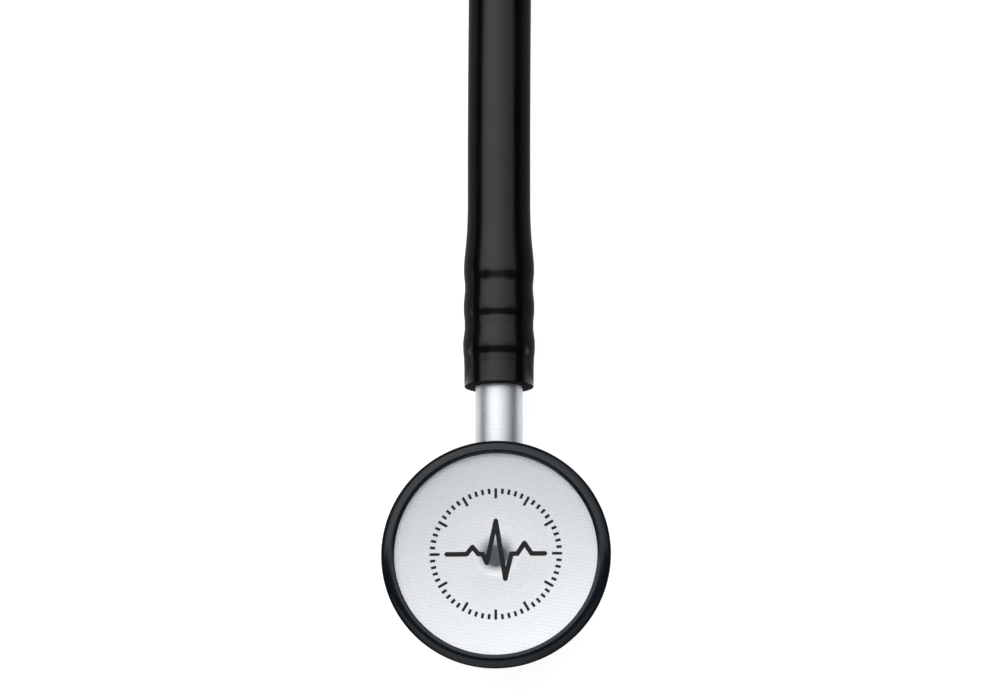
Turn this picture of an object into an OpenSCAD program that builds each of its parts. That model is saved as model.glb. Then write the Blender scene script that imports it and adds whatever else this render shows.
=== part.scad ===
// Stethoscope with a two-sided chestpiece: a diaphragm on one face and an open bell on the
// other. The chestpiece turns on a hollow stem, which feeds the side that faces its port.
// One tube runs from the stem to a moulded fork, and the fork carries a sprung headset.
//
// It lies on a flat surface, bell down and diaphragm up, with the tubing folded once so
// that the headset lies beside the chestpiece. Millimetres, +Z up, +Y along the stem.
// The origin is on the surface, under the middle of the bell.

/* [Diaphragm side] */
// Outside diameter of the black rim round the diaphragm
rim_d = 38.5; // [35:0.5:44]
// Width of the rim, seen from above
rim_w = 2.2; // [1.9:0.1:2.8]
// Wall of the rim outside the flange that it is snapped on
rim_wall = 1.1; // [0.9:0.05:1.4]
// Height of the rim's crest above the diaphragm
rim_bead = 1; // [0.7:0.1:1.6]
// Height from the bead's widest line up to its crest
rim_fall = 1.2; // [0.9:0.1:1.6]
// Distance from the rim's inner edge to its crest
rim_crest = 0.45; // [0.3:0.05:0.7]
// How far the rim's bead stands out past its skirt
rim_bulge = 0.4; // [0.2:0.05:0.5]
// Thickness of the rim's lip under the flange
rim_hook = 1; // [0.7:0.1:1.6]
// Thickness of the diaphragm
diaphragm_t = 0.35; // [0.2:0.05:0.6]
// Thickness of the flange at its edge
flange_t = 2.4; // [1.8:0.1:3.4]
// Depth of the dish under the middle of the diaphragm
dish_depth = 2.2; // [1.4:0.1:3]

/* [Bell side] */
// Outside diameter of the metal bell at its mouth
bell_d = 26; // [23:0.5:30]
// Wall of the bell at its mouth
bell_wall = 1.4; // [1:0.1:2]
// Depth of the bell from its mouth to the sound passage
bell_depth = 6.6; // [5.4:0.1:8]
// Wall of the black sleeve outside the bell
sleeve_wall = 1.3; // [0.9:0.1:1.8]
// Thickness of the sleeve's lip under the bell's mouth
sleeve_lip = 0.9; // [0.6:0.1:1.5]
// How far the sleeve reaches up the bell
sleeve_h = 3.4; // [2.6:0.1:4]

/* [Hub] */
// Diameter of the hub between the bell and the flange
hub_d = 18; // [16.5:0.5:20]
// Diameter of the boss that the stem turns in
boss_d = 11.6; // [10.6:0.2:12.4]
// How far the boss reaches from the chestpiece's axis
boss_reach = 15.6; // [14.6:0.2:16.4]
// Metal left between the stem's bore and the chamber on each side
chamber_wall = 1.7; // [1.3:0.1:2.6]
// Diameter of the sound passages to the bell and to the dish
passage_d = 3.2; // [2.4:0.1:3.6]

/* [Stem] */
// Diameter of the bare part of the stem
stem_d = 7.95; // [7.7:0.05:8.6]
// Length of bare stem between the rim and the tubing
stem_show = 10.25; // [7:0.25:16]
// Diameter of the spigot that turns in the chestpiece
spigot_d = 7; // [6.6:0.1:7.3]
// Diameter of the sound channel through the stem
channel_d = 3.2; // [2.6:0.1:3.4]
// How far the barbs stand out of the stem
barb_h = 0.12; // [0.06:0.02:0.18]
// Radial clearance of the spigot in its bore
running_gap = 0.04; // [0.02:0.01:0.06]

/* [Detent] */
// Diameter of the ball that clicks into the stem
ball_d = 1.8; // [1.5:0.1:2]
// Wire of the spring behind the ball
coil_wire = 0.26; // [0.2:0.02:0.3]

/* [Tubing] */
// Outside diameter of the tubing
tube_d = 10.6; // [9.6:0.1:10.6]
// Bore of the tubing
tube_bore_d = 5; // [4.4:0.1:5.6]
// Outside diameter of the end that is stretched over the stem
grip_d = 11.5; // [11:0.1:12.6]
// How far the tubing swells over each barb
rib_h = 0.22; // [0.16:0.02:0.4]
// Distance from one barb to the next
rib_pitch = 6.55; // [6:0.05:8]
// Number of barbs
ribs = 3; // [2:1:4]
// Length over which the stretched end runs down to the plain tubing
taper = 9.9; // [8:0.1:14]

/* [Headset] */
// Distance between the two legs of the folded tubing
fold_w = 104; // [104:1:110]
// Length of the moulded fork
fork_l = 30; // [28:1:36]
// Half the distance between the two arms where they leave the fork
fork_half = 8.5; // [8:0.1:10]
// Angle of each arm where it leaves the fork
fork_angle = 34; // [30:1:38]
// Diameter of the arms
arm_d = 9.4; // [9:0.1:10.2]
// Radius of the bend in each arm
arm_bend_r = 95; // [85:1:110]
// Angle that each arm bends back through
arm_bend = 25; // [22:1:28]
// Length of the straight end of each arm
arm_end = 30; // [26:1:36]
// Diameter of the ear tubes
ear_tube_d = 5.8; // [5.4:0.1:6.2]
// Bore of the ear tubes
ear_bore_d = 4; // [3.4:0.1:4.4]
// How far an ear tube is pushed into its arm
ear_insert = 16; // [12:1:20]
// Straight length of an ear tube outside its arm
ear_straight = 76; // [66:1:90]
// Radius of the bend at the top of an ear tube
ear_bend_r = 50; // [44:1:56]
// Angle of that bend
ear_bend = 52; // [48:1:54]
// Angle by which the bend is turned forward out of the headset's plane
ear_forward = 15; // [8:1:20]
// Straight length after the bend
ear_top = 12; // [11:0.5:15]
// Thickness of the leaf spring in the fork
spring_t = 0.8; // [0.6:0.05:1]
// Width of the leaf spring
spring_w = 4; // [3:0.2:4.2]

/* [Ear tips] */
// Largest diameter of an ear tip
tip_d = 12.4; // [11.4:0.2:13]
// Length of an ear tip
tip_l = 16; // [15:0.5:18]
// Diameter of the hole through an ear tip
tip_hole_d = 2.8; // [2:0.1:3.4]
// Wall of the hard insert inside an ear tip
insert_wall = 0.9; // [0.7:0.05:1.1]

/* [Hidden] */
$fn = 64;

// Clearance between pieces that are fixed together
fit = 0.03;
// How far a cutting shape stands past the face that it cuts
past = 1;

// Heights in the chestpiece, from the surface up
bell_z = sleeve_lip;
throat_z = bell_z + bell_depth;
bore_r = spigot_d / 2 + running_gap;
stem_z = throat_z + chamber_wall + bore_r;
dish_z = stem_z + bore_r + chamber_wall;
seat_z = dish_z + dish_depth;
under_z = seat_z - flange_t;

// Radii in the chestpiece
rim_r = rim_d / 2;
sight_r = rim_r - rim_w;
flange_r = rim_r - rim_wall;
hub_r = hub_d / 2;
bell_r = bell_d / 2;
mouth_r = bell_r - bell_wall;
passage_r = passage_d / 2;
// Flat ledge under the flange that the rim hooks on
ledge = 1.8;
// Width of the seat that the diaphragm lies on, under the rim
seat_w = 0.95;
dish_r = flange_r - seat_w;
// Height of the step between the seat and the edge of the dish
dish_step = 0.4;
// Height over which the flange thickens towards the hub
flange_rise = 1.6;
// Flared funnel round the passage in the dish
funnel_r = passage_r + 2.4;
funnel_h = 0.8;
// Edge rounding of the black rim and sleeve
soft_edge = 0.6;
// Height over which the rim's bead runs in to its skirt
bead_under = 1.3;

// Places along the stem, from the chestpiece's axis
spigot_end = -6;
bore_end = spigot_end - 0.3;
seal_y = 2.7;
seal_r = 0.42;
seal_groove_w = 1;
ring_y = boss_reach - 3;
ring_r = 0.42;
ring_groove_w = 2 * ring_r + 0.12;
detent_y = -4.3;
tube_y = rim_r + stem_show;
grip_l = rib_pitch * (ribs + 0.7);
stem_end = tube_y + grip_l;
shoulder_y = boss_reach + running_gap;

// Detent pieces along their bore, from the stem's axis
stem_r = stem_d / 2;
spigot_r = spigot_d / 2;
ball_r = ball_d / 2;
ball_x = bore_r + ball_r;
ball_bore_r = ball_r + running_gap;
plug_face_x = sqrt(hub_r * hub_r - detent_y * detent_y) - 0.3;
plug_t = 1.1;
coil_x0 = ball_x + ball_r * 0.8;
coil_x1 = plug_face_x - plug_t - fit;
coil_r = ball_r - coil_wire / 2 - 0.1;
coil_turns = 3;
dimple_depth = 0.25;

// Stretched end of the tubing
tube_r = tube_d / 2;
tube_bore_r = tube_bore_d / 2;
grip_r = grip_d / 2;
end_round = 0.7;
// Width of each rib's flat crest
rib_flat = 1.4;
tubing_end_y = tube_y + rib_pitch * ribs + rib_flat * 0.6 + taper;
grip_steps = 60;

// Folded tubing: points on its centreline, chosen by hand
yoke_y = 12;
straight_out = 6;
route = [[0, tubing_end_y, stem_z], [0, tubing_end_y + straight_out, stem_z],
         [0, tubing_end_y + 2 * straight_out, stem_z],
         [0, 86, 11.8], [0, 98, 10.4], [0, 110, 8.6], [0, 122, 6.9], [0, 133, 5.8], [0, 142, 5.4],
         [0, 150, 5.3], [4, 170, 5.3], [15, 187, 5.3], [32, 198, 5.3], [fold_w / 2, 202, 5.3],
         [fold_w - 32, 198, 5.3], [fold_w - 15, 187, 5.3], [fold_w - 4, 170, 5.3],
         [fold_w, 150, 5.3], [fold_w, 128, 5.3], [fold_w, 106, 5.3], [fold_w, 84, 5.3],
         [fold_w, 62, 5.3], [fold_w, 40, 5.3], [fold_w, 24, 5.3], [fold_w, yoke_y, 5.3]];
route_end = route[len(route) - 1];
tube_sides = 12;
rings_per_span = 2;

// Headset
arm_r = arm_d / 2;
arm_root = 6;
ear_r = ear_tube_d / 2;
socket_r = ear_r + fit;
arm_path = [[arm_root], [arm_bend_r, arm_bend, 0], [arm_end - ear_insert], [ear_insert]];
ear_path = [[ear_insert + ear_straight], [ear_bend_r, ear_bend, ear_forward], [ear_top]];
headset_sides = 20;
bend_steps = 10;
// The leaf spring lies this far inside an arm's centreline, in the wall of the arm
spring_inset = tube_bore_r + 0.45 * (arm_r - tube_bore_r);
// Radius of the turn between its two legs
spring_turn_r = 3;
// Angle of the arm's bend that each leg follows
spring_bend = 12;

// Ear tips, along the ear tube's end
tip_r = tip_d / 2;
tip_base = 8;
tip_base_r = ear_r + insert_wall + 1.2;
insert_l = 7;
tip_steps = 24;

// Points on an arc, from one angle to another
function arc(centre, r, from, to, steps = 8) =
    [for (i = [0:steps]) let (a = from + (to - from) * i / steps)
        centre + r * [cos(a), sin(a)]];

// Points on a quarter of an ellipse, from one angle to another
function quarter(centre, across, up, from, to, steps = 10) =
    [for (i = [0:steps]) let (a = from + (to - from) * i / steps)
        centre + [across * cos(a), up * sin(a)]];

// Smooth step from 0 to 1
function ease(t) = let (u = min(1, max(0, t))) u * u * (3 - 2 * u);

// Swelling over the barbs at a distance s from the tubing's end
function swell(s) =
    let (near = min([for (i = [1:ribs]) abs(s - rib_pitch * i)]))
    max(0, min(1, (rib_pitch / 2 - near) / (rib_pitch / 2 - rib_flat / 2)));

// Outside radius of the tubing at a distance s from its end
function grip_outer(s) =
    let (down = ease((s - (tubing_end_y - tube_y - taper)) / taper),
         edge = s < end_round ? end_round - sqrt(end_round * end_round - pow(end_round - s, 2)) : 0)
    grip_r + (tube_r - grip_r) * down + rib_h * swell(s) * (1 - down) - edge;

// Inside radius of the tubing at a distance s from its end
function grip_inner(s) =
    s < grip_l + fit ? stem_r + fit + rib_h * swell(s)
    : tube_bore_r + (stem_r + fit - tube_bore_r) * (1 - ease((s - grip_l) / 3));

// Point on a smooth curve through four points, between the second and the third
function between(p, t) =
    0.5 * (2 * p[1] + (p[2] - p[0]) * t
           + (2 * p[0] - 5 * p[1] + 4 * p[2] - p[3]) * t * t
           + (3 * p[1] - p[0] - 3 * p[2] + p[3]) * t * t * t);

// Smooth curve through a list of points, with equal steps in each span
function smooth(points, steps) =
    let (n = len(points) - 1)
    [for (i = [0:n - 1], k = [0:steps - 1])
        between([points[max(i - 1, 0)], points[i], points[i + 1], points[min(i + 2, n)]], k / steps),
     points[n]];

// Points along a path of straights [length] and bends [radius, angle, roll], from a place
// with +Z ahead. A bend turns towards +X, after that has rolled round the way ahead.
function walk(path, i = 0, at = [0, 0, 0], x = [1, 0, 0], z = [0, 0, 1]) =
    i == len(path) ? [at]
    : len(path[i]) == 1 ? concat([at], walk(path, i + 1, at + path[i][0] * z, x, z))
    : let (r = path[i][0], turn = path[i][1], roll = path[i][2],
           to = cos(roll) * x + sin(roll) * cross(z, x), centre = at + r * to)
      concat([for (k = [0:bend_steps - 1]) let (a = turn * k / bend_steps)
                  centre + r * (sin(a) * z - cos(a) * to)],
             walk(path, i + 1, centre + r * (sin(turn) * z - cos(turn) * to),
                  cos(turn) * to - sin(turn) * z, sin(turn) * to + cos(turn) * z));

// Closed ring of points round a place on a line that never runs along the direction "up"
function ring(at, along, r, sides, up) =
    let (ahead = along / norm(along),
         side = cross(ahead, up) / norm(cross(ahead, up)),
         top = cross(side, ahead))
    [for (k = [0:sides - 1]) at + r * (cos(360 * k / sides) * side + sin(360 * k / sides) * top)];

// Direction of a line at one of its points, square to what it meets at both ends
function heading(line, i) = line[min(i + 1, len(line) - 1)] - line[max(i - 1, 0)];

// Two triangles that fill a four-sided patch
function patch(a, b, c, d) = [[a, b, c], [a, c, d]];

// Pipe of outside radius r along a line, with a bore where bore is more than 0
module pipe(line, r, bore, sides, up = [0, 0, 1]) {
    n = len(line);
    outer = [for (i = [0:n - 1]) each ring(line[i], heading(line, i), r, sides, up)];
    inner = bore > 0 ? [for (i = [0:n - 1]) each ring(line[i], heading(line, i), bore, sides, up)] : [];
    in0 = n * sides;
    last = (n - 1) * sides;
    walls = [for (i = [0:n - 2], k = [0:sides - 1])
        let (a = i * sides + k, b = i * sides + (k + 1) % sides)
        each patch(a, b, b + sides, a + sides)];
    bores = bore <= 0 ? [] : [for (i = [0:n - 2], k = [0:sides - 1])
        let (a = in0 + i * sides + k, b = in0 + i * sides + (k + 1) % sides)
        each patch(b, a, a + sides, b + sides)];
    ends = bore > 0
        ? [for (k = [0:sides - 1]) let (m = (k + 1) % sides)
            each concat(patch(m, k, in0 + k, in0 + m),
                        patch(last + k, last + m, in0 + last + m, in0 + last + k))]
        : [for (k = [1:sides - 2])
            each [[0, k + 1, k], [last, last + k, last + k + 1]]];
    polyhedron(concat(outer, inner), concat(walls, bores, ends), convexity = 10);
}

// Moves its children to the far end of one leg of a path
module past_leg(leg) {
    if (len(leg) == 1) {
        translate([0, 0, leg[0]]) children();
    } else {
        rotate([0, 0, leg[2]]) translate([leg[0], 0, 0]) rotate([0, leg[1], 0])
            translate([-leg[0], 0, 0]) children();
    }
}

// Moves its children to the end of a path
module at_end(path, i = 0) {
    if (i < len(path)) {
        past_leg(path[i]) at_end(path, i + 1) children();
    } else {
        children();
    }
}

// Turns a shape made along +Z so that it lies along the stem
module on_stem() {
    translate([0, 0, stem_z]) rotate([-90, 0, 0]) children();
}

// Puts the headset's own frame, which runs along +Y from the end of the tubing, in its place
module on_headset() {
    translate(route_end) rotate([0, 0, 180]) children();
}

// Puts a shape for one side of the headset in place: side is 1 or -1
module on_side(side) {
    on_headset() mirror([side < 0 ? 1 : 0, 0, 0]) children();
}

// Frame at the root of an arm: +Z along the arm, +X towards the headset's middle
module at_arm_root() {
    translate([fork_half, fork_l, 0]) rotate([90, 0, 180 - fork_angle]) children();
}

module at_ear_tube() {
    at_arm_root() at_end(arm_path) translate([0, 0, -ear_insert]) children();
}

// Ring-shaped cut round the stem's axis
module groove(y, w, inner, outer) {
    translate([0, 0, y - w / 2]) rotate_extrude()
        translate([inner, 0]) square([outer - inner, w]);
}

// Metal body: bell below, flange above, hub and boss between them
module chestpiece_body() {
    band_z = bell_z + sleeve_h + 0.3;
    neck_z = throat_z + 0.5;
    neck = [for (i = [1:12]) let (t = i / 12)
        [hub_r + (bell_r - hub_r) * (0.5 + 0.5 * cos(180 * t)), band_z + (neck_z - band_z) * t]];
    color("silver") difference() {
        union() {
            rotate_extrude() polygon(concat(
                [[0, bell_z], [bell_r, bell_z], [bell_r, band_z]], neck,
                [[hub_r, under_z - flange_rise], [flange_r - ledge, under_z],
                 [flange_r, under_z], [flange_r, seat_z], [0, seat_z]]));
            on_stem() cylinder(r = boss_d / 2, h = boss_reach);
        }
        bell_hollow();
        dish_hollow();
        on_stem() translate([0, 0, bore_end]) cylinder(r = bore_r, h = boss_reach - bore_end + past);
        on_stem() groove(ring_y, ring_groove_w, spigot_r - past, spigot_r + ring_r + 0.06);
        cylinder(r = passage_r, h = seat_z);
        translate([0, detent_y, stem_z]) rotate([0, 90, 0]) cylinder(r = ball_bore_r, h = hub_r + past);
    }
}

// Hollow of the bell: an ellipse from the mouth to the throat
module bell_hollow() {
    wall = [for (i = [0:14]) let (a = 90 * i / 14)
        [passage_r + (mouth_r - passage_r) * cos(a), bell_z + bell_depth * sin(a)]];
    rotate_extrude() polygon(concat([[0, -past], [mouth_r, -past]], wall, [[0, throat_z]]));
}

// Hollow under the diaphragm: a shallow dish with a funnel in its middle
module dish_hollow() {
    edge_z = seat_z - dish_step;
    floor_z = dish_z + funnel_h;
    flare = quarter([funnel_r, dish_z], funnel_r - passage_r, funnel_h, 180, 90);
    curve = [for (i = [1:10]) let (t = i / 10)
        [funnel_r + (dish_r - funnel_r) * t, floor_z + (edge_z - floor_z) * t * t]];
    rotate_extrude() polygon(concat([[0, dish_z]], flare, curve,
                                    [[dish_r, seat_z + past], [0, seat_z + past]]));
}

module diaphragm() {
    color("gainsboro") translate([0, 0, seat_z]) cylinder(r = flange_r - fit, h = diaphragm_t);
}

// Soft rim, snapped over the flange's edge: a bead that is high at its inner edge and
// slopes outwards, a skirt under the bead and a hook below
module diaphragm_rim() {
    top_z = seat_z + diaphragm_t + fit;
    wide_z = top_z + rim_bead - rim_fall;
    low_z = under_z - fit - rim_hook;
    crest_r = sight_r + rim_crest;
    skirt_r = rim_r - rim_bulge;
    inner = quarter([crest_r, top_z + rim_bead * 0.35], rim_crest, rim_bead * 0.65, 180, 90);
    outer = quarter([crest_r, wide_z], rim_r - crest_r, rim_fall, 90, 0);
    under = quarter([skirt_r, wide_z], rim_bulge, bead_under, 0, -90);
    color([0.11, 0.12, 0.13]) rotate_extrude() polygon(concat(
        [[sight_r, top_z]], inner, [for (i = [1:len(outer) - 1]) outer[i]],
        [for (i = [1:len(under) - 1]) under[i]],
        arc([skirt_r - soft_edge, low_z + soft_edge], soft_edge, 0, -90),
        [[flange_r - ledge * 0.7, low_z], [flange_r - ledge * 0.7, under_z - fit],
         [flange_r + fit, under_z - fit], [flange_r + fit, top_z]]));
}

// Soft sleeve that keeps the bell's cold edge off the skin. It stands on the surface.
module bell_sleeve() {
    outer_r = bell_r + fit + sleeve_wall;
    top_z = bell_z + sleeve_h;
    color([0.11, 0.12, 0.13]) rotate_extrude() polygon(concat(
        [[mouth_r - 0.1, 0.3], [mouth_r + 0.2, 0]],
        arc([outer_r - soft_edge, soft_edge], soft_edge, -90, 0),
        arc([outer_r - soft_edge, top_z - soft_edge], soft_edge, 0, 90),
        [[bell_r + fit, top_z], [bell_r + fit, bell_z - fit], [mouth_r - 0.1, bell_z - fit]]));
}

// Ball of the click stop, held back to the stem's surface so that the chestpiece can turn
module detent_ball() {
    color("silver") translate([ball_x, detent_y, stem_z]) sphere(r = ball_r);
}

// Coil spring between the ball and its plug
module detent_spring() {
    rings = coil_turns * 8;
    travel = coil_x1 - coil_x0 - coil_wire;
    turns = [for (i = [0:rings]) let (a = 360 * coil_turns * i / rings)
        [coil_x0 + coil_wire / 2 + travel * i / rings,
         detent_y + coil_r * cos(a), stem_z + coil_r * sin(a)]];
    color("silver") pipe(turns, coil_wire / 2, 0, 6);
}

module detent_plug() {
    color("silver") translate([plug_face_x - plug_t, detent_y, stem_z])
        rotate([0, 90, 0]) cylinder(r = ball_r, h = plug_t);
}

// Hollow stem: a grooved spigot in the chestpiece, a bare shank and a barbed end in the tubing
module stem() {
    root_r = stem_r - 0.6;
    first_barb = tube_y + rib_pitch * 0.72;
    barbs = [for (i = [1:ribs]) let (y = tube_y + rib_pitch * i)
        each [[root_r, y - 1.2], [stem_r + barb_h, y - 0.6], [stem_r + barb_h, y],
              [root_r, y + rib_pitch * 0.55]]];
    color("lightgray") on_stem() difference() {
        rotate_extrude() polygon(concat(
            [[0, spigot_end], [spigot_r - 0.3, spigot_end], [spigot_r, spigot_end + 0.3],
             [spigot_r, shoulder_y], [stem_r - 0.2, shoulder_y], [stem_r, shoulder_y + 0.2],
             [stem_r, first_barb - 1], [root_r, first_barb]],
            barbs, [[root_r, stem_end - 0.4], [root_r - 0.4, stem_end], [0, stem_end]]));
        translate([0, 0, -channel_d * 0.8]) cylinder(r = channel_d / 2, h = stem_end + channel_d);
        rotate([90, 0, 0]) cylinder(r = passage_r, h = spigot_d);
        for (y = [-seal_y, seal_y]) groove(y, seal_groove_w, spigot_r - 2 * seal_r - 0.04, spigot_d);
        groove(ring_y, ring_groove_w, spigot_r - ring_r - 0.06, spigot_d);
        for (side = [-1, 1])
            translate([side * (spigot_r + ball_r - dimple_depth), 0, detent_y]) sphere(r = ball_r);
    }
}

// Rubber ring in a groove of the stem
module stem_seal(y) {
    color([0.15, 0.15, 0.15]) on_stem() translate([0, 0, y]) rotate_extrude()
        translate([spigot_r - seal_r - 0.02, 0]) circle(seal_r);
}

// Open wire ring that keeps the stem in its bore
module stem_retaining_ring() {
    color("silver") on_stem() translate([0, 0, ring_y]) rotate([0, 0, 110]) rotate_extrude(angle = 320)
        translate([spigot_r, 0]) circle(ring_r);
}

// End of the tubing, stretched over the barbs of the stem
module tubing_end() {
    l = tubing_end_y - tube_y;
    outside = [for (i = [0:grip_steps]) let (s = l * i / grip_steps) [grip_outer(s), s]];
    inside = [for (i = [grip_steps:-1:0]) let (s = l * i / grip_steps) [grip_inner(s), s]];
    color([0.14, 0.14, 0.14]) on_stem() translate([0, 0, tube_y])
        rotate_extrude() polygon(concat(outside, inside));
}

// Free run of the tubing, folded once, from the stretched end to the fork
module tubing() {
    color([0.14, 0.14, 0.14]) pipe(smooth(route, rings_per_span), tube_r, tube_bore_r, tube_sides);
}

// Moulded fork: one round inlet, a flat middle and two round outlets, with the passages inside
module yoke() {
    middle = fork_l * 0.5;
    // A thin round slice of the fork
    module slice(r) {
        cylinder(r = r, h = 0.4, $fn = 32);
    }
    module inlet() {
        rotate([-90, 0, 0]) slice(tube_r);
    }
    module outlet() {
        at_arm_root() translate([0, 0, -0.4]) slice(arm_r);
    }
    module waist() {
        translate([0, middle, 0]) rotate([-90, 0, 0])
            for (side = [-1, 1]) translate([side * fork_half * 0.3, 0, 0]) slice(tube_r);
    }
    color([0.14, 0.14, 0.14]) on_headset() difference() {
        union() {
            hull() {
                inlet();
                waist();
            }
            for (side = [0, 1]) mirror([side, 0, 0]) hull() {
                waist();
                outlet();
            }
            translate([0, 0, -spring_w / 2 - 1.2]) linear_extrude(spring_w + 2.4)
                polygon([[-fork_half * 0.6, middle], [fork_half * 0.6, middle],
                         [fork_half, fork_l], [-fork_half, fork_l]]);
        }
        translate([0, -past, 0]) rotate([-90, 0, 0]) cylinder(r = tube_bore_r, h = middle + past);
        for (side = [0, 1]) mirror([side, 0, 0]) at_arm_root() translate([0, 0, past])
            rotate([180, 0, 0]) cylinder(r = tube_bore_r, h = fork_half / sin(fork_angle) + past);
        spring_shape(fit);
    }
}

// Right half of one face of the leaf spring, from its turn to the end of its leg
function spring_half(inset, turn_r, bend) =
    let (ahead = [sin(fork_angle), cos(fork_angle)], inward = [-cos(fork_angle), sin(fork_angle)],
         root = [fork_half, fork_l],
         start = root + inset * inward,
         turn = 90 - fork_angle,
         back = (turn_r * sin(turn) - start[0]) / ahead[0],
         centre = [0, start[1] + back * ahead[1] + turn_r * cos(turn)],
         bend_centre = root + arm_root * ahead + arm_bend_r * inward)
    concat(arc(centre, turn_r, -90, turn - 90),
           [for (k = [0:6]) let (a = fork_angle - bend * k / 6)
               bend_centre + (arm_bend_r - inset) * [cos(a), -sin(a)]]);

// Steel strip bent to a V: its legs lie inside the inner walls of the arms
module spring_shape(gap) {
    half = spring_t / 2 + gap;
    bend = spring_bend + gap;
    outer = spring_half(spring_inset - half, spring_turn_r + half, bend);
    inner = spring_half(spring_inset + half, spring_turn_r - half, bend);
    n = len(outer) - 1;
    translate([0, 0, -spring_w / 2 - gap]) linear_extrude(spring_w + 2 * gap) polygon(concat(
        outer, [for (i = [n:-1:0]) inner[i]],
        [for (i = [1:n]) [-inner[i][0], inner[i][1]]],
        [for (i = [n:-1:1]) [-outer[i][0], outer[i][1]]]));
}

module leaf_spring() {
    color("silver") on_headset() spring_shape(0);
}

// Soft arm of the fork, with a socket for its ear tube
module arm(side) {
    color([0.14, 0.14, 0.14]) on_side(side) difference() {
        at_arm_root() pipe(walk(arm_path), arm_r, tube_bore_r, headset_sides, [0, 1, 0]);
        at_ear_tube() cylinder(r = socket_r, h = ear_insert + past);
        spring_shape(fit);
    }
}

module ear_tube(side) {
    color("silver") on_side(side) at_ear_tube()
        pipe(walk(ear_path), ear_r, ear_bore_d / 2, headset_sides, [0, 1, 0]);
}

// Hard core of an ear tip, pushed on the end of the ear tube
module tip_insert(side) {
    color("dimgray") on_side(side) at_ear_tube() at_end(ear_path) translate([0, 0, -insert_l])
        rotate_extrude() polygon([[ear_r + fit, 0], [ear_r + insert_wall, 0],
                                  [ear_r + insert_wall, insert_l + 1],
                                  [ear_bore_d / 2, insert_l + 1], [ear_bore_d / 2, insert_l + fit],
                                  [ear_r + fit, insert_l + fit]]);
}

// Soft ear tip: an olive with a hole through it, over its hard core
module ear_tip(side) {
    core_r = ear_r + insert_wall + fit;
    front = tip_l - tip_base;
    olive = [for (i = [0:tip_steps]) let (t = i / tip_steps, a = 90 * t)
        [tip_hole_d / 2 + 0.6 + (tip_r - tip_hole_d / 2 - 0.6) * cos(a), (front - 1) * sin(a) + 1]];
    skirt = [for (i = [0:10]) let (t = i / 10)
        [tip_base_r + (tip_r - tip_base_r) * ease(t), -tip_base + (tip_base + 1) * t]];
    color([0.16, 0.16, 0.17]) on_side(side) at_ear_tube() at_end(ear_path) rotate_extrude() polygon(concat(
        [[core_r, -tip_base]], skirt, [for (i = [1:tip_steps]) olive[i]],
        [[tip_hole_d / 2, front], [tip_hole_d / 2, 1 + fit], [core_r, 1 + fit]]));
}

chestpiece_body();
diaphragm();
diaphragm_rim();
bell_sleeve();
detent_ball();
detent_spring();
detent_plug();
stem();
stem_seal(-seal_y);  // stem_seal_inner
stem_seal(seal_y);  // stem_seal_outer
stem_retaining_ring();
tubing_end();
tubing();
yoke();
leaf_spring();
arm(-1);  // left_arm
ear_tube(-1);  // left_ear_tube
tip_insert(-1);  // left_tip_insert
ear_tip(-1);  // left_ear_tip
arm(1);  // right_arm
ear_tube(1);  // right_ear_tube
tip_insert(1);  // right_tip_insert
ear_tip(1);  // right_ear_tip
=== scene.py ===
import math

import bmesh
import bpy
import numpy as np
from mathutils import Matrix, Vector


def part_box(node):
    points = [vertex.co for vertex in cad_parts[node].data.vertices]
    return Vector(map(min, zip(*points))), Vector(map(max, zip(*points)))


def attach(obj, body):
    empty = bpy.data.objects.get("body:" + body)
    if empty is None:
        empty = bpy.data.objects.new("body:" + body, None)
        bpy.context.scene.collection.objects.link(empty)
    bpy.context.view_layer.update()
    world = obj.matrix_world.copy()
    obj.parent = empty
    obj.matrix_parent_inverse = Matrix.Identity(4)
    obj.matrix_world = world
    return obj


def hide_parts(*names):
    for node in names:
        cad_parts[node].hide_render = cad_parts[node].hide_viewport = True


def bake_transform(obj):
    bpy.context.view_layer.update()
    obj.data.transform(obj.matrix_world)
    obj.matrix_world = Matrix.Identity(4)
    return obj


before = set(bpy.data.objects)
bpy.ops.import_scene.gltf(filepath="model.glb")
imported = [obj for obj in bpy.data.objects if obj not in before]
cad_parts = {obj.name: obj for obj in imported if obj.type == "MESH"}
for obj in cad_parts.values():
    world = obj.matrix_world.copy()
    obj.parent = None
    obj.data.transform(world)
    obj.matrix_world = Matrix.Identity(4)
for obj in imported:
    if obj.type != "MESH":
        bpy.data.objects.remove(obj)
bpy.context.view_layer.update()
scene = bpy.context.scene
mm = 0.001


# colours, nodes and meshes

def linear(hexColour):  # sRGB hex to the linear values that a shader reads
    srgb = np.array([int(hexColour[i:i + 2], 16) for i in (1, 3, 5)]) / 255
    low, high = srgb / 12.92, ((srgb + 0.055) / 1.055) ** 2.4
    return (*np.where(srgb <= 0.04045, low, high), 1.0)


def newMaterial(name):
    material = bpy.data.materials.new(name)
    material.use_nodes = True
    material.node_tree.nodes.clear()
    return material, material.node_tree


def addNode(tree, kind, inputs=None, **settings):  # a value is set on its socket, a socket is linked to it
    node = tree.nodes.new(kind)
    for name, value in settings.items():
        setattr(node, name, value)
    for name, value in (inputs or {}).items():
        if isinstance(value, bpy.types.NodeSocket):
            tree.links.new(value, node.inputs[name])
        else:
            node.inputs[name].default_value = value
    return node


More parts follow.
